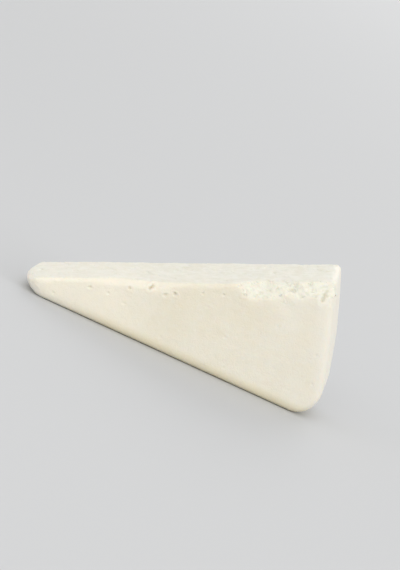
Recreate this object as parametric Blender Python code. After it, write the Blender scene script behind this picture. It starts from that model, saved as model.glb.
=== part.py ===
"""A half wedge of white tulum cheese, standing on its moulded side.

The cheese was moulded as a sector in a tray with sloping walls, and a knife then halved it from the tip
to the back. So one long side is a flat cut with a crumbling edge, and the other long side, the tip and
the back are moulded walls that lean out from the smooth front face to the rougher back face.

The outline is drawn in a mould frame: X along the moulded side, Z away from it, and Y back from the
front face. The cut starts from the origin of that frame and rises at the wedge's angle.
"""

import math
import random

import bmesh
import bpy
import numpy as np
from mathutils import Matrix, Vector, noise

# Main form, in metres and radians
REACH = 0.140
WEDGE_ANGLE = math.radians(25.0)
THICKNESS = 0.035
DRAFT = math.radians(5.0)
TIP_RADIUS = 0.007
LOW_CORNER_RADIUS = 0.0105
BACK_WALL_RADIUS = 0.250
FRONT_FILLET = 0.004
REAR_FILLET = 0.0012

# Worn width of the cut's edges, and where along the cut the front edge is chipped and where it has
# crumbled: each stretch starts, and the chipped one ends, between two distances from the tip
FRONT_EDGE_WEAR = 0.0012
CHIPPED_EDGE_WEAR = 0.0025
CRUMBLED_EDGE_WEAR = 0.0054
REAR_EDGE_WEAR = 0.0015
END_EDGE_WEAR = 0.0018
CHIPPED_START = (0.036, 0.046)
CHIPPED_END = (0.066, 0.076)
CRUMBLED_FROM = 0.098
CRUMBLED_FULLY = 0.106

# How far the cut's front edge rises towards the tip, and where along the cut that rise fades out
CUT_RISE = 0.0021
CUT_RISE_FADE = (0.045, 0.070)

# How far the tip is worn back at the back face and at the front face, where each wear starts, how it
# grows from there, and how far from the tip it reaches
TIP_REAR_WEAR = 0.0055
TIP_REAR_WEAR_FROM = 0.014
TIP_REAR_WEAR_POWER = 1.6
TIP_FRONT_WEAR = 0.0022
TIP_FRONT_WEAR_FROM = 0.012
TIP_FRONT_WEAR_POWER = 2.0
TIP_WEAR_REACH = 0.022

# How unevenly the front edge is worn: gentle swings where it is smooth, and where it crumbled
# stretches that are wide at WIDE_AT and again after each WIDE_PERIOD, with short chips
SWING_LENGTH = 0.009
SWING_SHARE = 0.25
WIDE_AT = 0.109
WIDE_PERIOD = 0.030
WIDE_SHARE = 0.15
CHIP_LENGTH = 0.0035
CHIP_SHARE = 0.25

# Round bites broken out of the crumbled edge: how many, their radius, how deep they go as a share
# of it, and how far across the worn width they sit, from the cut to the front face
BITE_SEED = 5
BITE_COUNT = 16
BITE_RADIUS = (0.0022, 0.0050)
BITE_DEPTH_SHARE = (0.15, 0.36)
BITE_SIDE_SHARE = (0.15, 0.85)

# Uneven surface: gentle waves all over, a rough rear face, and lumps of curd where it crumbled
WAVE_LENGTH = 0.018
WAVE_HEIGHT = 0.00030
REAR_ROUGH_LENGTH = 0.0075
REAR_ROUGH_HEIGHT = 0.00055
REAR_ROUGH_OCTAVES = 3
REAR_RIM = 0.002
CURD_SIZE = 0.0038
CURD_HEIGHT = 0.0011
CURD_GAP_SLOPE = 1.6
CURD_SUNK_SHARE = 0.6
CURD_REACH = (0.55 * CRUMBLED_EDGE_WEAR, 1.5 * CRUMBLED_EDGE_WEAR)
FLAT_BASE_MARGIN = 0.003
PRESSED_FLAT = 0.00012

# Dents in the front face: distance along the cut, distance below it, half length, half width,
# depth, and how far the long way turns from the cut's own direction
DENTS = (
    (0.1362, 0.0058, 0.0034, 0.0020, 0.0012, math.radians(60.0)),
    (0.1185, 0.0085, 0.0055, 0.0038, 0.0005, math.radians(15.0)),
    (0.0640, 0.0022, 0.0022, 0.0016, 0.0007, math.radians(0.0)),
    (0.0710, 0.0034, 0.0026, 0.0016, 0.0005, math.radians(10.0)),
)
DENT_LIP_REACH = 1.8
DENT_LIP_SHARE = 0.18
DENT_BACK_LIMIT = (0.5 * CRUMBLED_EDGE_WEAR, CRUMBLED_EDGE_WEAR)

# Mesh density, with finer cells along the stretch where the edge crumbled
SMOOTH_CELLS = 34
CRUMBLED_CELLS = 34
CELLS_ALONG = SMOOTH_CELLS + CRUMBLED_CELLS
FINE_FROM = 0.68
CELLS_UP = 20
CELLS_NEAR_FRONT = 3
NEAR_FRONT_DEPTH = 0.0095
CELLS_DEEP = 6
FRONT_FILLET_CELLS = 4
REAR_FILLET_CELLS = 2
ARC_STEPS = 24

CHEESE_COLOUR = (0.84, 0.80, 0.68, 1.0)
CHEESE_ROUGHNESS = 0.55
SHARP_ANGLE = math.radians(40.0)

ALONG_CUT = np.array([math.cos(WEDGE_ANGLE), math.sin(WEDGE_ANGLE)])
OUT_OF_CUT = np.array([-math.sin(WEDGE_ANGLE), math.cos(WEDGE_ANGLE)])
INTO_EDGE = Vector((-OUT_OF_CUT[0], 1.0, -OUT_OF_CUT[1])).normalized()
TIP_CENTRE = TIP_RADIUS / math.sin(WEDGE_ANGLE) * ALONG_CUT
BACK_CENTRE = (REACH - BACK_WALL_RADIUS) * ALONG_CUT


def clear_scene():
    for item in list(bpy.data.objects):
        bpy.data.objects.remove(item, do_unlink=True)


def smooth_step(value, start, stop):
    """0 before start, 1 after stop, and an even slope between them."""
    share = min(max((value - start) / (stop - start), 0.0), 1.0)
    return share * share * (3.0 - 2.0 * share)


def arc(centre, radius, start, stop):
    angles = np.linspace(start, stop, ARC_STEPS)
    return centre + radius * np.column_stack([np.cos(angles), np.sin(angles)])


def low_corner():
    """Centre of the rounding between the moulded side and the back wall, and where the back wall starts."""
    reach_in = BACK_WALL_RADIUS - LOW_CORNER_RADIUS
    rise = LOW_CORNER_RADIUS - BACK_CENTRE[1]
    centre = np.array([BACK_CENTRE[0] + math.sqrt(reach_in ** 2 - rise ** 2), LOW_CORNER_RADIUS])
    to_corner = centre - BACK_CENTRE
    return centre, math.atan2(to_corner[1], to_corner[0])


def outline_sides(grow):
    """The outline with its moulded walls moved out by grow, as four chains of (x, z) points.

    The chains meet at the cut's two ends, halfway round the tip and halfway round the low corner.
    """
    corner_centre, back_start = low_corner()
    tip_start = math.pi + WEDGE_ANGLE
    tip_stop = 1.5 * math.pi
    tip_middle = 0.5 * (tip_start + tip_stop)
    corner_middle = 0.5 * (back_start - 0.5 * math.pi)
    tip = arc(TIP_CENTRE, TIP_RADIUS + grow, tip_middle, tip_start)
    moulded_side = np.vstack([
        arc(TIP_CENTRE, TIP_RADIUS + grow, tip_middle, tip_stop),
        arc(corner_centre, LOW_CORNER_RADIUS + grow, -0.5 * math.pi, corner_middle),
    ])
    back = np.vstack([
        arc(corner_centre, LOW_CORNER_RADIUS + grow, corner_middle, back_start),
        arc(BACK_CENTRE, BACK_WALL_RADIUS + grow, back_start, WEDGE_ANGLE)[1:],
    ])
    cut = np.vstack([tip[-1], back[-1]])
    return tip, moulded_side, back, cut


def spread(chain, shares):
    """Points at the given shares of a chain's length."""
    steps = np.linalg.norm(np.diff(chain, axis=0), axis=1)
    run = np.concatenate([[0.0], np.cumsum(steps)]) / steps.sum()
    return np.column_stack([np.interp(shares, run, chain[:, axis]) for axis in (0, 1)])


def outline_grid(grow):
    """A grid of (x, z) points over the outline, rows from the moulded side up to the cut.

    Towards the back wall the rows crowd together near the cut and near the low corner.
    """
    coarse = np.linspace(0.0, FINE_FROM, SMOOTH_CELLS, endpoint=False)
    along = np.concatenate([coarse, np.linspace(FINE_FROM, 1.0, CRUMBLED_CELLS + 1)])
    even = np.linspace(0.0, 1.0, CELLS_UP + 1)
    crowded = 0.5 - 0.5 * np.cos(math.pi * even)
    tip, moulded_side, back, cut = outline_sides(grow)
    left = spread(tip, even)[:, None, :]
    right = spread(back, crowded)[:, None, :]
    low = spread(moulded_side, along)[None, :, :]
    high = spread(cut, along)[None, :, :]
    s = along[None, :, None]
    t = (1 - s) * even[:, None, None] + s * crowded[:, None, None]
    corners = (
        (1 - s) * (1 - t) * low[:, :1]
        + s * (1 - t) * low[:, -1:]
        + (1 - s) * t * high[:, :1]
        + s * t * high[:, -1:]
    )
    return (1 - t) * low + t * high + (1 - s) * left + s * right - corners


def wall_rings():
    """(depth, grow) of each ring, from the front face's rim to the back face's rim."""
    lean = math.tan(DRAFT)
    front_grow = FRONT_FILLET * lean - FRONT_FILLET / math.cos(DRAFT)
    rings = []
    for turn in np.linspace(0.0, 0.5 * math.pi - DRAFT, FRONT_FILLET_CELLS + 1):
        depth = FRONT_FILLET * (1.0 - math.cos(turn))
        rings.append((depth, front_grow + FRONT_FILLET * math.sin(turn)))
    rear_depth = THICKNESS - REAR_FILLET
    rear_grow = rear_depth * lean - REAR_FILLET / math.cos(DRAFT)
    wall_start = rings[-1][0]
    wall_stop = rear_depth - REAR_FILLET * math.sin(DRAFT)
    near_depths = np.linspace(wall_start, NEAR_FRONT_DEPTH, CELLS_NEAR_FRONT + 1)[1:-1]
    far_depths = np.linspace(NEAR_FRONT_DEPTH, wall_stop, CELLS_DEEP + 1)[:-1]
    for depth in np.concatenate([near_depths, far_depths]):
        rings.append((depth, depth * lean))
    for turn in np.linspace(-DRAFT, 0.5 * math.pi, REAR_FILLET_CELLS + 1):
        rings.append((rear_depth + REAR_FILLET * math.sin(turn), rear_grow + REAR_FILLET * math.cos(turn)))
    return rings


def rim_places():
    """The places (row, column) once round the rim of a grid."""
    bottom = [(0, column) for column in range(CELLS_ALONG)]
    right = [(row, CELLS_ALONG) for row in range(CELLS_UP)]
    top = [(CELLS_UP, column) for column in range(CELLS_ALONG, 0, -1)]
    left = [(row, 0) for row in range(CELLS_UP, 0, -1)]
    return bottom + right + top + left


def wear_off(first, second, width):
    """Move a point, given by its distances from two faces, in where their edge is worn to a width."""
    first = max(first, 0.0)
    second = max(second, 0.0)
    shift = 0.5 * max(width - first - second, 0.0)
    return first + shift, second + shift


def place_by_cut(x, z):
    """A place's distance along the cut from the mould frame's origin, and its distance below the cut."""
    place = np.array([x, z])
    return place @ ALONG_CUT, -(place @ OUT_OF_CUT)


def crumbled_share(along):
    """0 where the front edge is only worn, and 1 where it has crumbled."""
    return smooth_step(along, CRUMBLED_FROM, CRUMBLED_FULLY)


def front_edge_wear(along):
    """Worn width of the cut's front edge, which breaks up towards the back wall."""
    swing = SWING_SHARE * noise.noise(Vector((along / SWING_LENGTH, 4.0, 0.0)))
    chipped = smooth_step(along, *CHIPPED_START) - smooth_step(along, *CHIPPED_END)
    smooth_width = (FRONT_EDGE_WEAR + chipped * (CHIPPED_EDGE_WEAR - FRONT_EDGE_WEAR)) * (1.0 + swing)
    wide = WIDE_SHARE * math.cos(2.0 * math.pi * (along - WIDE_AT) / WIDE_PERIOD)
    chip = CHIP_SHARE * noise.noise(Vector((along / CHIP_LENGTH, 9.0, 0.0)))
    crumbled_width = CRUMBLED_EDGE_WEAR * (1.0 + wide + chip)
    return smooth_width + crumbled_share(along) * (crumbled_width - smooth_width)


def crumbled_bites():
    """Centre and radius of each bite, spread along the crumbled edge and over its worn width."""
    chance = random.Random(BITE_SEED)
    spacing = (REACH - CRUMBLED_FULLY) / BITE_COUNT
    bites = []
    for count in range(BITE_COUNT):
        along = CRUMBLED_FULLY + (count + chance.random()) * spacing
        radius = chance.uniform(*BITE_RADIUS)
        stand_off = radius * (1.0 - chance.uniform(*BITE_DEPTH_SHARE)) * math.sqrt(0.5)
        side_share = chance.uniform(*BITE_SIDE_SHARE)
        width = front_edge_wear(along)
        below = side_share * width - stand_off
        depth = (1.0 - side_share) * width - stand_off
        plane = along * ALONG_CUT - below * OUT_OF_CUT
        bites.append((Vector((plane[0], depth, plane[1])), radius))
    return bites


def bite_out(point, bites):
    """Move a point that lies inside a bite into the edge, as far as the bite's surface."""
    for centre, radius in bites:
        away = point - centre
        if away.length < radius:
            past = away.dot(INTO_EDGE)
            far = math.sqrt(past ** 2 + radius ** 2 - away.length_squared)
            point = point + INTO_EDGE * (far - past)
    return point


def tip_wear(depth):
    """How far the tip is worn back at a depth below the front face."""
    rear_share = max(depth - TIP_REAR_WEAR_FROM, 0.0) / (THICKNESS - TIP_REAR_WEAR_FROM)
    front_share = max(1.0 - depth / TIP_FRONT_WEAR_FROM, 0.0)
    rear = TIP_REAR_WEAR * rear_share ** TIP_REAR_WEAR_POWER
    return rear + TIP_FRONT_WEAR * front_share ** TIP_FRONT_WEAR_POWER


def base_share(below, depth, z):
    """0 at the cut, 1 at the moulded side, and the share of the way between them."""
    above_base = max(z + depth * math.tan(DRAFT), 0.0)
    return max(below, 0.0) / max(below + above_base, TIP_RADIUS)


def wear_tip_back(x, depth, z):
    """Move a place near the tip away from it, along the cut or the moulded side, whichever is nearer."""
    along, below = place_by_cut(x, z)
    tip_end = TIP_CENTRE @ ALONG_CUT - TIP_RADIUS - depth * math.tan(DRAFT)
    shift = tip_wear(depth) * (1.0 - smooth_step(along - tip_end, 0.0, TIP_WEAR_REACH))
    side_share = base_share(below, depth, z)
    way = (1.0 - side_share) * ALONG_CUT + side_share * np.array([1.0, 0.0])
    return np.array([x, z]) + shift * way


def cut_rise(along, below, depth, z):
    """How far a place is raised, because the knife wandered off the plane of the cut towards the tip."""
    near_tip = 1.0 - smooth_step(along, *CUT_RISE_FADE)
    near_cut = 1.0 - smooth_step(base_share(below, depth, z), 0.0, 1.0)
    return CUT_RISE * near_tip * near_cut * (1.0 - depth / THICKNESS)


def worn_point(x, depth, z):
    """A point of the sharp-edged wedge, moved in where the tip and the edges of the cut are worn."""
    along, below = place_by_cut(*wear_tip_back(x, depth, z))
    lean = math.tan(DRAFT)
    depth, below = wear_off(depth, below, front_edge_wear(along))
    from_rear, below = wear_off(THICKNESS - depth, below, REAR_EDGE_WEAR)
    depth = THICKNESS - from_rear
    wall_end = REACH + depth * lean
    if wall_end - along < END_EDGE_WEAR:
        from_end, below = wear_off(wall_end - along, below, END_EDGE_WEAR)
        along = wall_end - from_end
    tip_end = TIP_CENTRE @ ALONG_CUT - TIP_RADIUS - depth * lean + tip_wear(depth)
    if along - tip_end < END_EDGE_WEAR:
        from_tip, below = wear_off(along - tip_end, below, END_EDGE_WEAR)
        along = tip_end + from_tip
    plane = along * ALONG_CUT - below * OUT_OF_CUT
    plane += cut_rise(along, below, depth, plane[1]) * OUT_OF_CUT
    return Vector((plane[0], depth, plane[1]))


def build_wedge_mesh():
    """A closed grid mesh: front face, moulded walls and cut, and back face."""
    mesh = bmesh.new()
    rings = wall_rings()
    places = rim_places()

    def full_grid(depth, grow):
        grid = outline_grid(grow)
        return [[mesh.verts.new(worn_point(x, depth, z)) for x, z in row] for row in grid]

    front = full_grid(*rings[0])
    rear = full_grid(*rings[-1])
    loops = [[front[row][column] for row, column in places]]
    for depth, grow in rings[1:-1]:
        grid = outline_grid(grow)
        rim = [grid[place] for place in places]
        loops.append([mesh.verts.new(worn_point(x, depth, z)) for x, z in rim])
    loops.append([rear[row][column] for row, column in places])

    for grid in (front, rear):
        for row in range(CELLS_UP):
            for column in range(CELLS_ALONG):
                mesh.faces.new((
                    grid[row][column],
                    grid[row][column + 1],
                    grid[row + 1][column + 1],
                    grid[row + 1][column],
                ))
    for near, far in zip(loops, loops[1:]):
        for place in range(len(places)):
            after = (place + 1) % len(places)
            mesh.faces.new((near[place], near[after], far[after], far[place]))
    bmesh.ops.recalc_face_normals(mesh, faces=mesh.faces)
    return mesh


def dent_depth(along, below):
    """How deep the front face is dented at a place, with a low lip round each dent."""
    depth = 0.0
    for dent_along, dent_below, half_length, half_width, deepest, turn in DENTS:
        over = along - dent_along
        down = below - dent_below
        lengthwise = (over * math.cos(turn) - down * math.sin(turn)) / half_length
        across = (over * math.sin(turn) + down * math.cos(turn)) / half_width
        spread_out = math.hypot(lengthwise, across)
        if spread_out < 1.0:
            depth += deepest * (1.0 - spread_out ** 2) ** 1.5
        elif spread_out < DENT_LIP_REACH:
            over_lip = (spread_out - 1.0) / (DENT_LIP_REACH - 1.0)
            depth -= DENT_LIP_SHARE * deepest * math.sin(math.pi * over_lip)
    return depth


def curd_relief(point):
    """Lumps of broken curd, between 0 in the gaps and 1 on top of a lump."""
    to_nearest = noise.voronoi(point / CURD_SIZE)[0]
    return min(1.0, (to_nearest[1] - to_nearest[0]) * CURD_GAP_SLOPE)


def surface_height(point):
    """How far the surface stands out of the plain form at a point of the mould frame."""
    along, below = place_by_cut(point.x, point.z)
    waves = WAVE_HEIGHT * noise.noise(point / WAVE_LENGTH)
    on_rear = smooth_step(point.y, THICKNESS - REAR_RIM, THICKNESS)
    rough = REAR_ROUGH_HEIGHT * noise.fractal(point / REAR_ROUGH_LENGTH, 1.0, 2.0, REAR_ROUGH_OCTAVES)
    near_edge = 1.0 - smooth_step(math.hypot(below, point.y), *CURD_REACH)
    curds = CURD_HEIGHT * (curd_relief(point) - CURD_SUNK_SHARE)
    on_front = 1.0 - smooth_step(point.y, *DENT_BACK_LIMIT)
    dents = dent_depth(along, below)
    return waves + on_rear * rough + crumbled_share(along) * near_edge * curds - on_front * dents


def roughen(mesh):
    """Raise and sink the surface, except for the flat moulded side that the wedge stands on."""
    mesh.normal_update()
    moves = []
    for vertex in mesh.verts:
        above_base = vertex.co.z + vertex.co.y * math.tan(DRAFT)
        share = smooth_step(above_base, 0.0, FLAT_BASE_MARGIN)
        moves.append(vertex.normal * share * surface_height(vertex.co))
    bites = crumbled_bites()
    for vertex, move in zip(mesh.verts, moves):
        vertex.co = bite_out(vertex.co + move, bites)


def stand_on_moulded_side(mesh):
    """Turn the leaning moulded side level, and put the middle of the base at the origin."""
    mesh.transform(Matrix.Rotation(DRAFT, 4, "X"))
    points = np.array([vertex.co[:] for vertex in mesh.verts])
    low = points.min(axis=0)
    high = points.max(axis=0)
    middle = 0.5 * (low + high)
    mesh.transform(Matrix.Translation((-middle[0], -middle[1], -low[2])))


def press_base_flat(mesh):
    """Press what is almost on the base down onto it, so that the wedge stands on one level face."""
    for vertex in mesh.verts:
        if vertex.co.z < PRESSED_FLAT:
            vertex.co.z = 0.0


def cheese_material():
    material = bpy.data.materials.new("white_cheese")
    material.use_nodes = True
    shader = material.node_tree.nodes["Principled BSDF"]
    shader.inputs["Base Color"].default_value = CHEESE_COLOUR
    shader.inputs["Roughness"].default_value = CHEESE_ROUGHNESS
    shader.inputs["Metallic"].default_value = 0.0
    return material


def add_wedge():
    shape = build_wedge_mesh()
    roughen(shape)
    stand_on_moulded_side(shape)
    press_base_flat(shape)
    bmesh.ops.triangulate(shape, faces=shape.faces, quad_method="BEAUTY")
    data = bpy.data.meshes.new("tulum_cheese_wedge")
    shape.to_mesh(data)
    shape.free()
    data.shade_smooth()
    data.set_sharp_from_angle(angle=SHARP_ANGLE)
    data.materials.append(cheese_material())
    wedge = bpy.data.objects.new("tulum_cheese_wedge", data)
    bpy.context.scene.collection.objects.link(wedge)
    return wedge


clear_scene()
add_wedge()
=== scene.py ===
"""The looks of a half wedge of white tulum cheese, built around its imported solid.

The wedge stands on its moulded side. Its places are given in the mould's own directions: along the knife
cut from the tip to the back wall, below the cut, and deep into the wedge from the smooth front face.
A fade is a pair of values: something starts to change at the first and has changed at the second.
"""

import math

import bmesh
import bpy
import numpy as np
from mathutils import Matrix, Vector, noise


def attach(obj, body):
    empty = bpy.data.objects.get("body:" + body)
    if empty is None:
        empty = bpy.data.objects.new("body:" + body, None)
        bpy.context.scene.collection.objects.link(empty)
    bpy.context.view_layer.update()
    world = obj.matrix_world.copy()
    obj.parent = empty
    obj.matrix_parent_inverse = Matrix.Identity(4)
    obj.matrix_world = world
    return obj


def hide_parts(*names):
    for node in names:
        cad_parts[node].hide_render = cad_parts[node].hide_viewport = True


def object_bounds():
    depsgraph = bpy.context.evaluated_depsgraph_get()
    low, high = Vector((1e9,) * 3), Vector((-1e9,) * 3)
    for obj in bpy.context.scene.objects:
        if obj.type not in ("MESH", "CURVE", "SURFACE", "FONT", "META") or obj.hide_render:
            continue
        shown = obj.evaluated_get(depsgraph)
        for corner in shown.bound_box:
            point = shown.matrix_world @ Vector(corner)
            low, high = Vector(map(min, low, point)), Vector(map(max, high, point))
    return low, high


NODE = "tulum_cheese_wedge"
SEED = 11

# The wedge's main form, in metres and radians, and the fade along the cut where its front edge crumbles
WEDGE_ANGLE = math.radians(25.0)
DRAFT = math.radians(5.0)
CUT_LENGTH = 0.140
CRUMBLED_FADE = (0.098, 0.106)

# Fine mesh, twice as fine on the front face and the cut, and four times near their edge: how deep
# each of those faces is taken to be, how far the edge reaches where it is worn and where it has
# crumbled, and how far before the crumbled stretch it starts to reach further
FINE_CELL = 0.00090
SMOOTH_ROUNDS = 4
SMOOTH_FACTOR = 0.5
FINER_DEPTH = 0.0012
FINEST_REACHES = (0.0062, 0.0095)
FINEST_LEAD = 0.004

# How squarely a place faces a direction, as a fade, to belong to the cut, the rear face or an end wall
FACES_CUT = (0.80, 0.95)
FACES_REAR = (0.75, 0.95)
FACES_WALL = (0.20, 0.75)

# How noise is built up from octaves, and how many make grain and tears
OCTAVE_FADING = 1.0
OCTAVE_STEP = 2.0
GRAIN_OCTAVES = 2
TEAR_OCTAVES = 3

# Cells of noise: how steeply lumps and crumbs rise from the gaps, by how much the cells' centres are
# spread before each cell draws its own number, and a crumb's mean height and swing, as shares
LUMP_SLOPE = 1.6
CRUMB_SLOPE = 2.2
PORE_DRAW = 7.0
CRUMB_DRAW = 13.0
CRUMB_LEVEL = 0.6
CRUMB_LEVEL_SWING = 0.4

# Relief all over: swells, gaps between lumps of curd, grain and pores
SWELL_HEIGHT = 0.00007
SWELL_LENGTH = 0.0060
GAP_DEPTH = 0.00006
LUMP_SIZE = 0.0055
GRAIN_HEIGHT = 0.00004
GRAIN_LENGTH = 0.0019
PORE_DEPTH = 0.00030
PORE_SPACING = 0.0045
PORE_RADIUS = 0.0008
PORE_SHARE = 0.35

# The knife's strokes on the cut, and tears between them, with a fade in the noise's own value
STROKE_HEIGHT = 0.00013
STROKE_LENGTH = 0.030
STROKE_WIDTH = 0.0016
TEAR_DEPTH = 0.00030
TEAR_LENGTH = 0.0050
TEAR_FADE = (0.32, 0.62)

# The rougher rear face
REAR_GRAIN_HEIGHT = 0.00022
REAR_GRAIN_LENGTH = 0.0022
REAR_GAP_DEPTH = 0.00030
REAR_LUMP_SIZE = 0.0060
REAR_PORE_DEPTH = 0.00045
REAR_PORE_SPACING = 0.0060
REAR_PORE_RADIUS = 0.0013

# Relief fades in above the flat side that the wedge stands on
RELIEF_ABOVE_BASE = (0.0002, 0.0025)

# The front edge of the cut: a fade that limits it, and fades in how far it is sunk, where it counts
# as worn and where as broken
EDGE_LIMIT = (0.010, 0.012)
WORN_SUNK = (0.0002, 0.0008)
BROKEN_SUNK = (0.0004, 0.0012)
WORN_GRAIN_HEIGHT = 0.00014
WORN_GRAIN_LENGTH = 0.0016

# Crumbly relief where the edge is broken: coarse and fine crumbs, how their outlines are bent, grain
COARSE_CRUMB_HEIGHT = 0.00034
COARSE_CRUMB_SIZE = 0.0023
FINE_CRUMB_HEIGHT = 0.00020
FINE_CRUMB_SIZE = 0.0010
CRUMB_BEND = 0.0004
CRUMB_BEND_LENGTH = 0.0015
BROKEN_GRAIN_HEIGHT = 0.00010
BROKEN_GRAIN_LENGTH = 0.0007

# Small bites broken out of the crumbled edge: how many, their radius and how uneven it is, their
# depth as a share of it, and fades in how far the edge is sunk there, in the distance from the pit
# by the back wall and from that wall, and in how squarely a place faces out of the edge
BITE_COUNT = 70
BITE_RADIUS = (0.0007, 0.0022)
BITE_WOBBLE = 0.28
BITE_WOBBLE_LENGTH = 0.0016
BITE_DEPTH_SHARE = (0.12, 0.32)
BITE_SUNK = (0.0007, 0.0015)
BITE_CLEAR_OF_PIT = (0.0030, 0.0050)
BITE_CLEAR_OF_WALL = (0.0015, 0.0040)
BITE_FACING = (0.15, 0.55)

# Loose crumbs that cling to the crumbled edge: how many, the corners of each, their radius and how
# strongly small ones outnumber large ones, the corners' distances as shares of it, and how far
# their middles stand out
CRUMB_COUNT = 130
CRUMB_CORNERS = 11
CRUMB_RADIUS = (0.00018, 0.00075)
CRUMB_SMALLNESS = 3
CRUMB_CORNER_SHARE = (0.7, 1.0)
CRUMB_STAND_OUT = 0.1

# Pits in the front face: distance along the cut, below it, half length, half width, depth, turn. The
# last is the slit by the back wall
PITS = (
    (0.0370, 0.0024, 0.0010, 0.0007, 0.0004, math.radians(0.0)),
    (0.0540, 0.0027, 0.0009, 0.0008, 0.0004, math.radians(20.0)),
    (0.0630, 0.0022, 0.0016, 0.0010, 0.0010, math.radians(35.0)),
    (0.0690, 0.0056, 0.0012, 0.0009, 0.0005, math.radians(-10.0)),
    (0.0730, 0.0050, 0.0011, 0.0008, 0.0006, math.radians(-50.0)),
    (0.1030, 0.0050, 0.0013, 0.0009, 0.0008, math.radians(20.0)),
    (0.1130, 0.0034, 0.0014, 0.0009, 0.0008, math.radians(-30.0)),
    (0.1230, 0.0034, 0.0013, 0.0010, 0.0008, math.radians(0.0)),
    (0.1362, 0.0060, 0.0034, 0.0010, 0.0007, math.radians(58.0)),
)

# The pits' common form: how their outlines are bent, how steep they are, the height of the lip round
# each as a share of its depth and the lip's width as a share of its half width, the fade that keeps
# pits off places deeper in the wedge, and the depth of a pit that gets the full painted shade
PIT_BEND = 0.45
PIT_BEND_LENGTH = 0.0011
PIT_STEEPNESS = 1.4
PIT_LIP_HEIGHT = 0.16
PIT_LIP_WIDTH = 1.2
PIT_DEEP_LIMIT = (0.0035, 0.0050)
PIT_FULL_SHADE_DEPTH = 0.0010

# Masks for the colour. Painted light on the ends and the end walls, lighter where light falls from the
# sides:
# strengths with fades along the cut, out from the tip and in towards the back wall
SIDE_LIGHT_TIP = ((0.5, (0.012, 0.075)), (0.6, (0.012, 0.020)))
SIDE_LIGHT_BACK = ((0.3, (0.090, 0.125)), (0.9, (0.129, 0.137)))

# Painted light on the front face towards the tip, a lighter cream where more light falls, between two fades
# along the cut, and how much less of it there is on the cut and where the edge is worn
TIP_LIGHT_START = (0.010, 0.022)
TIP_LIGHT_END = (0.045, 0.068)
TIP_LIGHT_LESS_ON_CUT = 0.7
TIP_LIGHT_LESS_WHERE_WORN = 0.4

# The same painted light, in the same lighter cream, below the chipped stretch of the edge, between two
# fades along the cut, with fades below the cut and deep into the wedge
EDGE_LIGHT_START = (0.044, 0.054)
EDGE_LIGHT_END = (0.070, 0.078)
EDGE_LIGHT_BELOW = (0.0020, 0.0085)
EDGE_LIGHT_DEEP = (0.003, 0.005)
EDGE_LIGHT_STRENGTH = 0.9

# How pale the worn edge is beside the broken one, how much painted shade the darkest pit gets, and the
# golden rim by the floor, a painted shade with a warm painted reflection, with a fade in height and one
# along the cut
WORN_PALENESS = 0.08
PIT_SHADE_MOST = 0.25
RIM_SHADE_HEIGHT = (0.0015, 0.0060)
RIM_SHADE_START = (0.020, 0.050)

# Colours of the cheese
CREAM = (0.80, 0.745, 0.605, 1.0)
MILK = (0.82, 0.78, 0.665, 1.0)
WARM = (0.77, 0.70, 0.54, 1.0)
CUT_WHITE = (0.815, 0.800, 0.718, 1.0)
CUT_CREAM = (0.752, 0.731, 0.628, 1.0)
# The lighter cream of the painted light on the face towards the tip
PAINTED_LIGHT_CREAM = (0.865, 0.815, 0.69, 1.0)
# The white of scattered specks, and of the painted light on the ends and the end walls
SPECK_WHITE_AND_SIDE_LIGHT = (0.83, 0.795, 0.705, 1.0)
PALE = (0.865, 0.84, 0.725, 1.0)
# Painted shade with a warm painted reflection, along the low rim by the floor
RIM_SHADE_GOLD = (0.76, 0.68, 0.45, 1.0)
# Painted shade inside the pits
SHADE = (0.50, 0.42, 0.25, 1.0)

# How much of the colour under it each mask's colour covers at most
MASK_COVERS = {
    "painted_side_light": 0.8,
    "rear": 0.3,
    "cut": 0.85,
    "painted_tip_light": 0.85,
    "broken": 1.0,
    "painted_rim_shade": 0.5,
    "pit": 0.7,
}

# Noise in the material: scale, detail, roughness, a fade in the noise's value, and what that fade
# becomes. That is how much is covered, but for SHEEN the cheese's roughness and for TORN_GRAIN a
# height. FINE_GRAIN is a height as it comes
CLOUDS = (45.0, 3.0, 0.5, (0.35, 0.65), (0.0, 1.0))
WARM_CLOUDS = (110.0, 4.0, 0.5, (0.62, 0.80), (0.0, 0.5))
CUT_MOTTLE = (210.0, 6.0, 0.65, (0.38, 0.62), (0.0, 1.0))
WHITE_SPECKS = (420.0, 3.0, 0.6, (0.50, 0.72), (0.0, 0.40))
WARM_SPECKS = (1500.0, 3.0, 0.6, (0.55, 0.75), (0.0, 0.30))
SHEEN = (160.0, 3.0, 0.5, (0.3, 0.7), (0.42, 0.62))
TORN_GRAIN = (800.0, 5.0, 0.7, (0.3, 0.7), (0.0, 0.9))
FINE_GRAIN = (1500.0, 4.0, 0.65)

# How light passes into the cheese, how glossy it is, and its finest grain
SUBSURFACE_WEIGHT = 0.35
SUBSURFACE_RADIUS = (1.0, 0.75, 0.5)
SUBSURFACE_SCALE = 0.0018
SPECULAR_LEVEL = 0.4
BUMP_STRENGTH = 0.5
BUMP_DISTANCE = 0.0004

# The camera's place and the picture's rightward direction, as the photograph sees the wedge
CAMERA_PLACE = Vector((-0.1142, -1.4531, 0.2882))
CAMERA_RIGHT = Vector((0.9072, 0.0240, 0.4201))
CAMERA_CLIP = (0.05, 50.0)
SENSOR_SIDE = 36.0
PICTURE_SIZE = (400, 570)
WIDTH_SHARE = 0.90

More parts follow.
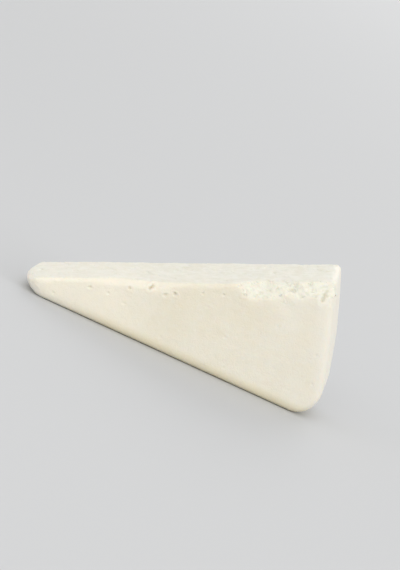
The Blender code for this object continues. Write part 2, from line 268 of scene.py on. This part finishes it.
# Light: the soft room, and soft lamps given by direction, distance, size and power
ROOM_COLOUR = (1.0, 1.0, 1.0, 1.0)
ROOM_STRENGTH = 0.78
LAMPS = (
    ("front_lamp", (-0.20, -0.85, 0.50), 3.6, 2.45, 28.7),
    ("right_lamp", (0.85, -0.45, 0.30), 3.6, 1.95, 32.1),
    ("left_lamp", (-0.80, -0.45, 0.20), 0.8, 0.45, 0.95),
    ("top_lamp", (-0.35, 0.10, 0.93), 2.2, 1.5, 1.5),
    ("back_lamp", (0.20, 0.85, 0.45), 3.6, 2.45, 22.8),
)
FLOOR_COLOUR = (0.56, 0.565, 0.57, 1.0)
FLOOR_ROUGHNESS = 0.7
FLOOR_REACH = 6.0


def smooth_step(value, start, stop):
    """0 before start, 1 after stop, and an even slope between them, for arrays too."""
    share = np.clip((value - start) / (stop - start), 0.0, 1.0)
    return share * share * (3.0 - 2.0 * share)


def vertex_places(mesh):
    flat = np.empty(len(mesh.vertices) * 3)
    mesh.vertices.foreach_get("co", flat)
    return flat.reshape(-1, 3)


def vertex_normals(mesh):
    flat = np.empty(len(mesh.vertices) * 3, np.float32)
    mesh.vertex_normals.foreach_get("vector", flat)
    return flat.reshape(-1, 3).astype(float)


def set_vertex_places(mesh, points):
    mesh.vertices.foreach_set("co", points.ravel())
    mesh.update()


def add_mask(mesh, name, values):
    layer = mesh.attributes.new(name, "FLOAT", "POINT")
    layer.data.foreach_set("value", values.astype(np.float32))


class Mould:
    """The mould's directions and its origin, found from the solid's own faces."""

    def __init__(self, solid):
        points = vertex_places(solid.data)
        turn_cos = math.cos(DRAFT)
        turn_sin = math.sin(DRAFT)
        self.side = np.array([1.0, 0.0, 0.0])
        self.deep = np.array([0.0, turn_cos, turn_sin])
        self.rise = np.array([0.0, -turn_sin, turn_cos])
        self.cut_along = math.cos(WEDGE_ANGLE) * self.side + math.sin(WEDGE_ANGLE) * self.rise
        self.cut_out = -math.sin(WEDGE_ANGLE) * self.side + math.cos(WEDGE_ANGLE) * self.rise
        planes = np.array([self.cut_out, -self.deep, [0.0, 0.0, 1.0]])
        thick_half = points[points[:, 0] > 0.0]
        reaches = np.array([(thick_half @ self.cut_out).max(), (thick_half @ -self.deep).max(), 0.0])
        self.origin = np.linalg.solve(planes, reaches)
        self.into_edge = (self.deep - self.cut_out) / math.sqrt(2.0)

    def places(self, points):
        """Distances along the cut, below the cut and deep into the wedge."""
        local = points - self.origin
        return local @ self.cut_along, -(local @ self.cut_out), local @ self.deep


def waves(points, length, octaves=1):
    """Smooth noise from about -1 to 1 at each point, with waves of the given length."""
    if octaves == 1:
        return np.array([noise.noise(Vector(p)) for p in points / length])
    return np.array([
        noise.fractal(Vector(p), OCTAVE_FADING, OCTAVE_STEP, octaves)
        for p in points / length
    ])


def lumps(points, size):
    """0 in the gaps between lumps of the given size, and up to 1 on top of them."""
    near = np.array([noise.voronoi(Vector(p))[0][:2] for p in points / size])
    return np.clip((near[:, 1] - near[:, 0]) * LUMP_SLOPE, 0.0, 1.0)


def pores(points, spacing, radius):
    """1 in the middle of scattered pores of the given radius, and 0 away from them."""
    depth = np.zeros(len(points))
    for i, p in enumerate(points / spacing):
        distance, centres = noise.voronoi(Vector(p))
        if noise.cell(centres[0] * PORE_DRAW) * 0.5 + 0.5 < PORE_SHARE:
            reach = distance[0] * spacing / radius
            depth[i] = max(0.0, 1.0 - reach * reach)
    return depth


def crumbs_at_heights(points, size):
    """Crumbs of the given size that stand at different heights: 0 in the gaps, and up to 1."""
    heights = np.empty(len(points))
    for i, p in enumerate(points / size):
        distance, centres = noise.voronoi(Vector(p))
        level = CRUMB_LEVEL + CRUMB_LEVEL_SWING * noise.cell(centres[0] * CRUMB_DRAW)
        heights[i] = level * min(1.0, CRUMB_SLOPE * (distance[1] - distance[0]))
    return heights


def split_faces(shape, chosen):
    """Split each chosen face of a bmesh in four."""
    edges = {
        edge
        for face, is_chosen in zip(shape.faces, chosen.tolist())
        if is_chosen
        for edge in face.edges
    }
    bmesh.ops.subdivide_edges(shape, edges=list(edges), cuts=1, use_grid_fill=True)


def refine_where_seen(mesh, mould):
    """Split the faces on the front and the cut, and once more near the edge between them.

    Where the edge hasn't crumbled, the finest faces reach half as deep into the wedge.
    """
    shape = bmesh.new()
    shape.from_mesh(mesh)

    def face_places():
        return mould.places(np.array([face.calc_center_median()[:] for face in shape.faces]))

    _, below, deep = face_places()
    split_faces(shape, np.minimum(below, deep) < FINER_DEPTH)
    along, below, deep = face_places()
    crumbled = smooth_step(along, CRUMBLED_FADE[0] - FINEST_LEAD, CRUMBLED_FADE[0])
    reach = FINEST_REACHES[0] + crumbled * (FINEST_REACHES[1] - FINEST_REACHES[0])
    squeeze = 2.0 - crumbled
    split_faces(shape, np.hypot(np.maximum(below, 0.0), squeeze * np.maximum(deep, 0.0)) < reach)
    shape.to_mesh(mesh)
    shape.free()


def fine_copy(solid, mould):
    """A finer mesh of the solid's form, as a new object."""
    rough = bpy.data.objects.new("wedge_form", solid.data.copy())
    bpy.context.scene.collection.objects.link(rough)
    remesh = rough.modifiers.new("fine_cells", "REMESH")
    remesh.mode = "VOXEL"
    remesh.voxel_size = FINE_CELL
    smooth = rough.modifiers.new("soften_facets", "SMOOTH")
    smooth.factor = SMOOTH_FACTOR
    smooth.iterations = SMOOTH_ROUNDS
    shown = rough.evaluated_get(bpy.context.evaluated_depsgraph_get())
    mesh = bpy.data.meshes.new_from_object(shown)
    bpy.data.objects.remove(rough)
    refine_where_seen(mesh, mould)
    wedge = bpy.data.objects.new("cheese_wedge", mesh)
    bpy.context.scene.collection.objects.link(wedge)
    mesh.materials.clear()
    mesh.shade_smooth()
    return wedge


def sunk_edge(mould, points):
    """How far the front edge of the cut is worn back at each place, and where it has crumbled."""
    along, below, deep = mould.places(points)
    sunk = np.minimum(np.maximum(below, 0.0), np.maximum(deep, 0.0))
    near = (1.0 - smooth_step(below, *EDGE_LIMIT)) * (1.0 - smooth_step(deep, *EDGE_LIMIT))
    return sunk * near, smooth_step(along, *CRUMBLED_FADE)


def bite_out(points, normals, mould):
    """Carve small round bites out of the crumbled edge, each along the same way into the edge.

    A bite is an uneven ball whose middle stands off the surface. What lies in it moves to its far side.
    """
    chance = np.random.default_rng(SEED)
    sunk, crumbled = sunk_edge(mould, points)
    along, below, _ = mould.places(points)
    slit_along, slit_below = PITS[-1][:2]
    from_slit = np.hypot(along - slit_along, below - slit_below)
    likely = crumbled * smooth_step(sunk, *BITE_SUNK) * smooth_step(from_slit, *BITE_CLEAR_OF_PIT)
    likely *= smooth_step(CUT_LENGTH - along, *BITE_CLEAR_OF_WALL)
    facing = smooth_step(-(normals @ mould.into_edge), *BITE_FACING)
    middles = points[chance.choice(len(points), BITE_COUNT, replace=False, p=likely / likely.sum())]
    wobble = 1.0 + BITE_WOBBLE * waves(points, BITE_WOBBLE_LENGTH, GRAIN_OCTAVES)
    for middle in middles:
        radius = chance.uniform(*BITE_RADIUS)
        stand_off = radius * (1.0 - chance.uniform(*BITE_DEPTH_SHARE))
        away = points - (middle - stand_off * mould.into_edge)
        past = away @ mould.into_edge
        room = past ** 2 + (radius * wobble) ** 2 - np.einsum("ij,ij->i", away, away)
        carve = np.where(room > past ** 2, np.sqrt(np.maximum(room, 0.0)) - past, 0.0)
        points = points + (facing * carve)[:, None] * mould.into_edge
    return points


def pit_shapes(along, below):
    """How deep the pits in the front face are at each place, and how much painted shade they get, with a
    low lip round each.
    """
    depth = np.zeros(len(along))
    shade_share = np.zeros(len(along))
    flat = np.column_stack([along, below, np.zeros(len(along))])
    bend = PIT_BEND * waves(flat, PIT_BEND_LENGTH, GRAIN_OCTAVES)
    for pit_along, pit_below, half_length, half_width, deepest, turn in PITS:
        over = along - pit_along
        down = below - pit_below
        lengthwise = (over * math.cos(turn) - down * math.sin(turn)) / half_length
        across = (over * math.sin(turn) + down * math.cos(turn)) / half_width
        out = np.hypot(lengthwise, across) + bend
        inside = np.clip(1.0 - out, 0.0, 1.0)
        lip = np.sin(math.pi * np.clip((out - 1.0) / PIT_LIP_WIDTH, 0.0, 1.0))
        depth += deepest * (PIT_STEEPNESS * inside - PIT_LIP_HEIGHT * lip)
        shade_share = np.maximum(shade_share, inside * deepest / PIT_FULL_SHADE_DEPTH)
    return depth, shade_share


def relief_height(points, mould, on_cut, on_rear, worn):
    """How far swells, grain, curd, pores and knife marks raise or sink the surface at each place."""
    height = SWELL_HEIGHT * waves(points, SWELL_LENGTH, GRAIN_OCTAVES)
    height -= GAP_DEPTH * (1.0 - lumps(points, LUMP_SIZE))
    height += GRAIN_HEIGHT * waves(points, GRAIN_LENGTH, GRAIN_OCTAVES)
    height -= PORE_DEPTH * pores(points, PORE_SPACING, PORE_RADIUS)

    along, _, deep = mould.places(points)
    strokes = np.column_stack([along / STROKE_LENGTH, deep / STROKE_WIDTH, np.zeros(len(points))])
    height += STROKE_HEIGHT * on_cut * waves(strokes, 1.0)
    tears = smooth_step(waves(points, TEAR_LENGTH, TEAR_OCTAVES), *TEAR_FADE)
    height -= TEAR_DEPTH * on_cut * tears

    height += REAR_GRAIN_HEIGHT * on_rear * waves(points, REAR_GRAIN_LENGTH, GRAIN_OCTAVES)
    height -= REAR_GAP_DEPTH * on_rear * (1.0 - lumps(points, REAR_LUMP_SIZE))
    height -= REAR_PORE_DEPTH * on_rear * pores(points, REAR_PORE_SPACING, REAR_PORE_RADIUS)

    height += WORN_GRAIN_HEIGHT * worn * waves(points, WORN_GRAIN_LENGTH, GRAIN_OCTAVES)
    return height


def crumbly_height(points):
    """How far crumbs and grain raise or sink the surface where the edge is broken."""
    bends = [waves(points + shift, CRUMB_BEND_LENGTH) for shift in range(3)]
    bent = points + CRUMB_BEND * np.column_stack(bends)
    height = COARSE_CRUMB_HEIGHT * (crumbs_at_heights(bent, COARSE_CRUMB_SIZE) - 0.5)
    height += FINE_CRUMB_HEIGHT * (crumbs_at_heights(bent, FINE_CRUMB_SIZE) - 0.5)
    height += BROKEN_GRAIN_HEIGHT * waves(points, BROKEN_GRAIN_LENGTH, GRAIN_OCTAVES)
    return height


def colour_masks(plain_places, heights, on_wall, on_cut, on_rear, worn, broken, pit):
    """The masks that the material reads, from 0 to about 1 at each place."""
    along, below, deep = plain_places
    # Painted light: the ends and the end walls are lighter where light falls from the sides
    side_light_ends = sum(strength * (1.0 - smooth_step(along, *fade)) for strength, fade in SIDE_LIGHT_TIP)
    side_light_ends += sum(strength * smooth_step(along, *fade) for strength, fade in SIDE_LIGHT_BACK)

    # Painted light on the face towards the tip and below the chipped stretch of the edge, in a lighter
    # cream
    painted_tip_light = smooth_step(along, *TIP_LIGHT_START) - smooth_step(along, *TIP_LIGHT_END)
    painted_tip_light *= (1.0 - on_wall) * (1.0 - on_rear) * (1.0 - TIP_LIGHT_LESS_ON_CUT * on_cut)
    edge_light = smooth_step(along, *EDGE_LIGHT_START) - smooth_step(along, *EDGE_LIGHT_END)
    edge_light *= 1.0 - smooth_step(below, *EDGE_LIGHT_BELOW)
    edge_light *= 1.0 - smooth_step(deep, *EDGE_LIGHT_DEEP)
    edge_light *= EDGE_LIGHT_STRENGTH * (1.0 - on_cut)
    painted_face_light = np.maximum(painted_tip_light, edge_light) * (1.0 - TIP_LIGHT_LESS_WHERE_WORN * worn)

    # Painted shade with a warm painted reflection along the low rim by the floor
    by_floor = 1.0 - smooth_step(heights, *RIM_SHADE_HEIGHT)
    return {
        # painted light on the ends and the end walls
        "painted_side_light": np.maximum(on_wall, side_light_ends),
        "broken": np.maximum(broken, WORN_PALENESS * worn),
        # painted light on the face towards the tip and below the chipped edge
        "painted_tip_light": painted_face_light,
        "cut": on_cut,
        "rear": on_rear,
        # painted shade inside the pits
        "pit": pit,
        # painted shade and warm painted reflection along the low rim
        "painted_rim_shade": by_floor * (1.0 - on_rear) * smooth_step(along, *RIM_SHADE_START),
    }


def add_relief(wedge, mould, low, high):
    """Shape the surface and write its masks, and give its places, its normals and where it is broken."""
    mesh = wedge.data
    points = vertex_places(mesh)
    normals = vertex_normals(mesh)
    plain_places = mould.places(points)
    along, below, deep = plain_places
    on_cut = smooth_step(normals @ mould.cut_out, *FACES_CUT)
    on_rear = smooth_step(normals @ mould.deep, *FACES_REAR)
    sunk, crumbled = sunk_edge(mould, points)
    worn = (1.0 - crumbled) * smooth_step(sunk, *WORN_SUNK)
    pit_depth, pit_shade = pit_shapes(along, below)
    shallow = 1.0 - smooth_step(deep, *PIT_DEEP_LIMIT)

    height = relief_height(points, mould, on_cut, on_rear, worn) - shallow * pit_depth
    height *= smooth_step(points[:, 2], *RELIEF_ABOVE_BASE)
    points = bite_out(points + normals * height[:, None], normals, mould)
    set_vertex_places(mesh, points)

    normals = vertex_normals(mesh)
    sunk, crumbled = sunk_edge(mould, points)
    broken = crumbled * smooth_step(sunk, *BROKEN_SUNK)
    points = points + normals * (broken * crumbly_height(points))[:, None]
    points = np.clip(points, np.array(low), np.array(high))
    set_vertex_places(mesh, points)

    on_wall = smooth_step(np.abs(normals @ mould.cut_along), *FACES_WALL)
    # The pits' painted shade, more in deeper pits
    pit = shallow * np.minimum(pit_shade, PIT_SHADE_MOST)
    masks = colour_masks(plain_places, points[:, 2], on_wall, on_cut, on_rear, worn, broken, pit)
    for name, values in masks.items():
        add_mask(mesh, name, values)
    return points, normals, broken


def add_crumbs(points, normals, broken, low, high):
    """Small angular crumbs that cling to the crumbled edge, as one joined mesh."""
    chance = np.random.default_rng(SEED + 1)
    likely = broken / broken.sum()
    smallest, largest = CRUMB_RADIUS
    shape = bmesh.new()
    for i in chance.choice(len(points), CRUMB_COUNT, replace=False, p=likely):
        radius = smallest + (largest - smallest) * chance.random() ** CRUMB_SMALLNESS
        middle = points[i] + CRUMB_STAND_OUT * radius * normals[i]
        middle = np.clip(middle, np.array(low) + radius, np.array(high) - radius)
        outwards = chance.normal(size=(CRUMB_CORNERS, 3))
        outwards /= np.linalg.norm(outwards, axis=1)[:, None]
        reach = radius * chance.uniform(*CRUMB_CORNER_SHARE, CRUMB_CORNERS)
        corners = [shape.verts.new(corner) for corner in middle + reach[:, None] * outwards]
        hull = bmesh.ops.convex_hull(shape, input=corners)
        bmesh.ops.delete(shape, geom=hull["geom_interior"], context="VERTS")
    bmesh.ops.recalc_face_normals(shape, faces=shape.faces)
    mesh = bpy.data.meshes.new("cheese_crumbs")
    shape.to_mesh(mesh)
    shape.free()
    add_mask(mesh, "broken", np.ones(len(mesh.vertices)))
    crumbs = bpy.data.objects.new("cheese_crumbs", mesh)
    bpy.context.scene.collection.objects.link(crumbs)
    return crumbs


def cheese_material():
    material = bpy.data.materials.new("fresh_cheese")
    material.use_nodes = True
    tree = material.node_tree
    shader = tree.nodes["Principled BSDF"]
    link = tree.links.new

    def node(kind, **values):
        made = tree.nodes.new(kind)
        for name, value in values.items():
            setattr(made, name, value)
        return made

    place = node("ShaderNodeTexCoord").outputs["Object"]

    def noise_of(scale, detail, roughness):
        texture = node("ShaderNodeTexNoise")
        texture.inputs["Scale"].default_value = scale
        texture.inputs["Detail"].default_value = detail
        texture.inputs["Roughness"].default_value = roughness
        link(place, texture.inputs["Vector"])
        return texture.outputs["Fac"]

    def mask(name):
        return node("ShaderNodeAttribute", attribute_name=name).outputs["Fac"]

    def spread(value, fade, result):
        ramp = node("ShaderNodeMapRange")
        link(value, ramp.inputs["Value"])
        ramp.inputs["From Min"].default_value = fade[0]
        ramp.inputs["From Max"].default_value = fade[1]
        ramp.inputs["To Min"].default_value = result[0]
        ramp.inputs["To Max"].default_value = result[1]
        return ramp.outputs["Result"]

    def noisy(scale, detail, roughness, fade, result):
        return spread(noise_of(scale, detail, roughness), fade, result)

    def masked(name):
        return spread(mask(name), (0.0, 1.0), (0.0, MASK_COVERS[name]))

    def mix(share, first, second):
        mixer = node("ShaderNodeMix", data_type="RGBA")
        link(share, mixer.inputs["Factor"])
        for socket, value in ((mixer.inputs["A"], first), (mixer.inputs["B"], second)):
            if isinstance(value, tuple):
                socket.default_value = value
            else:
                link(value, socket)
        return mixer.outputs["Result"]

    colour = mix(noisy(*CLOUDS), CREAM, MILK)
    colour = mix(noisy(*WARM_CLOUDS), colour, WARM)
    # Painted light on the ends and the end walls
    colour = mix(masked("painted_side_light"), colour, SPECK_WHITE_AND_SIDE_LIGHT)
    colour = mix(masked("rear"), colour, WARM)
    colour = mix(masked("cut"), colour, mix(noisy(*CUT_MOTTLE), CUT_CREAM, CUT_WHITE))
    # Painted light on the face towards the tip and below the chipped stretch of the edge
    colour = mix(masked("painted_tip_light"), colour, PAINTED_LIGHT_CREAM)
    colour = mix(noisy(*WHITE_SPECKS), colour, SPECK_WHITE_AND_SIDE_LIGHT)
    colour = mix(noisy(*WARM_SPECKS), colour, WARM)
    colour = mix(masked("broken"), colour, PALE)
    # Painted shade with a warm painted reflection along the low rim by the floor
    colour = mix(masked("painted_rim_shade"), colour, RIM_SHADE_GOLD)
    # Painted shade inside the pits
    colour = mix(masked("pit"), colour, SHADE)
    link(colour, shader.inputs["Base Color"])
    link(noisy(*SHEEN), shader.inputs["Roughness"])
    shader.inputs["Subsurface Weight"].default_value = SUBSURFACE_WEIGHT
    shader.inputs["Subsurface Radius"].default_value = SUBSURFACE_RADIUS
    shader.inputs["Subsurface Scale"].default_value = SUBSURFACE_SCALE
    shader.inputs["Specular IOR Level"].default_value = SPECULAR_LEVEL

    torn = node("ShaderNodeMath", operation="MULTIPLY")
    link(mask("broken"), torn.inputs[0])
    link(noisy(*TORN_GRAIN), torn.inputs[1])
    height = node("ShaderNodeMath", operation="ADD")
    link(noise_of(*FINE_GRAIN), height.inputs[0])
    link(torn.outputs["Value"], height.inputs[1])
    bump = node("ShaderNodeBump")
    bump.inputs["Strength"].default_value = BUMP_STRENGTH
    bump.inputs["Distance"].default_value = BUMP_DISTANCE
    link(height.outputs["Value"], bump.inputs["Height"])
    link(bump.outputs["Normal"], shader.inputs["Normal"])
    return material


def floor_material():
    material = bpy.data.materials.new("pale_floor")
    material.use_nodes = True
    shader = material.node_tree.nodes["Principled BSDF"]
    shader.inputs["Base Color"].default_value = FLOOR_COLOUR
    shader.inputs["Roughness"].default_value = FLOOR_ROUGHNESS
    return material


def add_floor():
    data = bpy.data.meshes.new("floor")
    reach = FLOOR_REACH
    corners = [(-reach, -reach, 0.0), (reach, -reach, 0.0), (reach, reach, 0.0), (-reach, reach, 0.0)]
    data.from_pydata(corners, [], [(0, 1, 2, 3)])
    floor = bpy.data.objects.new("floor", data)
    data.materials.append(floor_material())
    bpy.context.scene.collection.objects.link(floor)


def add_light(name, direction, distance, size, power):
    data = bpy.data.lights.new(name, "AREA")
    data.shape = "DISK"
    data.size = size
    data.energy = power
    light = bpy.data.objects.new(name, data)
    light.location = distance * Vector(direction).normalized()
    light.rotation_euler = (-Vector(direction)).to_track_quat("-Z", "Y").to_euler()
    bpy.context.scene.collection.objects.link(light)


def add_lights():
    world = bpy.data.worlds.new("soft_room")
    world.use_nodes = True
    background = world.node_tree.nodes["Background"]
    background.inputs["Color"].default_value = ROOM_COLOUR
    background.inputs["Strength"].default_value = ROOM_STRENGTH
    bpy.context.scene.world = world
    for lamp in LAMPS:
        add_light(*lamp)


def add_camera(low, high):
    """The photograph's direction of view, drawn in until the wedge fills the picture's width."""
    middle = 0.5 * (low + high)
    forward = (middle - CAMERA_PLACE).normalized()
    right = (CAMERA_RIGHT - CAMERA_RIGHT.dot(forward) * forward).normalized()
    up = right.cross(forward)
    corners = [Vector((x, y, z)) for x in (low.x, high.x) for y in (low.y, high.y) for z in (low.z, high.z)]
    spans = [(c - CAMERA_PLACE).dot(right) / (c - CAMERA_PLACE).dot(forward) for c in corners]
    data = bpy.data.cameras.new("camera")
    data.sensor_width = SENSOR_SIDE
    width, height = PICTURE_SIZE
    data.lens = WIDTH_SHARE * SENSOR_SIDE * (width / height) / (max(spans) - min(spans))
    data.clip_start, data.clip_end = CAMERA_CLIP
    camera = bpy.data.objects.new("camera", data)
    turn = Matrix((right, up, -forward)).transposed().to_4x4()
    camera.matrix_world = Matrix.Translation(CAMERA_PLACE) @ turn
    bpy.context.scene.collection.objects.link(camera)
    bpy.context.scene.camera = camera


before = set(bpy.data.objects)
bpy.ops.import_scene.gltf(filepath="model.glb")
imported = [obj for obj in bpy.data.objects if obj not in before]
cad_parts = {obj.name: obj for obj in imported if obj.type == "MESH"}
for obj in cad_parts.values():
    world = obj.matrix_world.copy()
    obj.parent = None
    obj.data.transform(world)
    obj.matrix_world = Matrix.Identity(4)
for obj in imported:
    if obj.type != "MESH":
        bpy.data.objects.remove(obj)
cad_low, cad_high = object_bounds()
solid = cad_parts[NODE]
add_camera(cad_low, cad_high)
add_lights()
add_floor()

mould = Mould(solid)
cheese = cheese_material()
wedge = fine_copy(solid, mould)
places, outwards, broken = add_relief(wedge, mould, cad_low, cad_high)
wedge.data.materials.append(cheese)
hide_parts(NODE)
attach(wedge, "root")

crumbs = add_crumbs(places, outwards, broken, cad_low, cad_high)
crumbs.data.materials.append(cheese)
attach(crumbs, "root")

bpy.context.scene.view_settings.view_transform = "Standard"
bpy.context.view_layer.update()
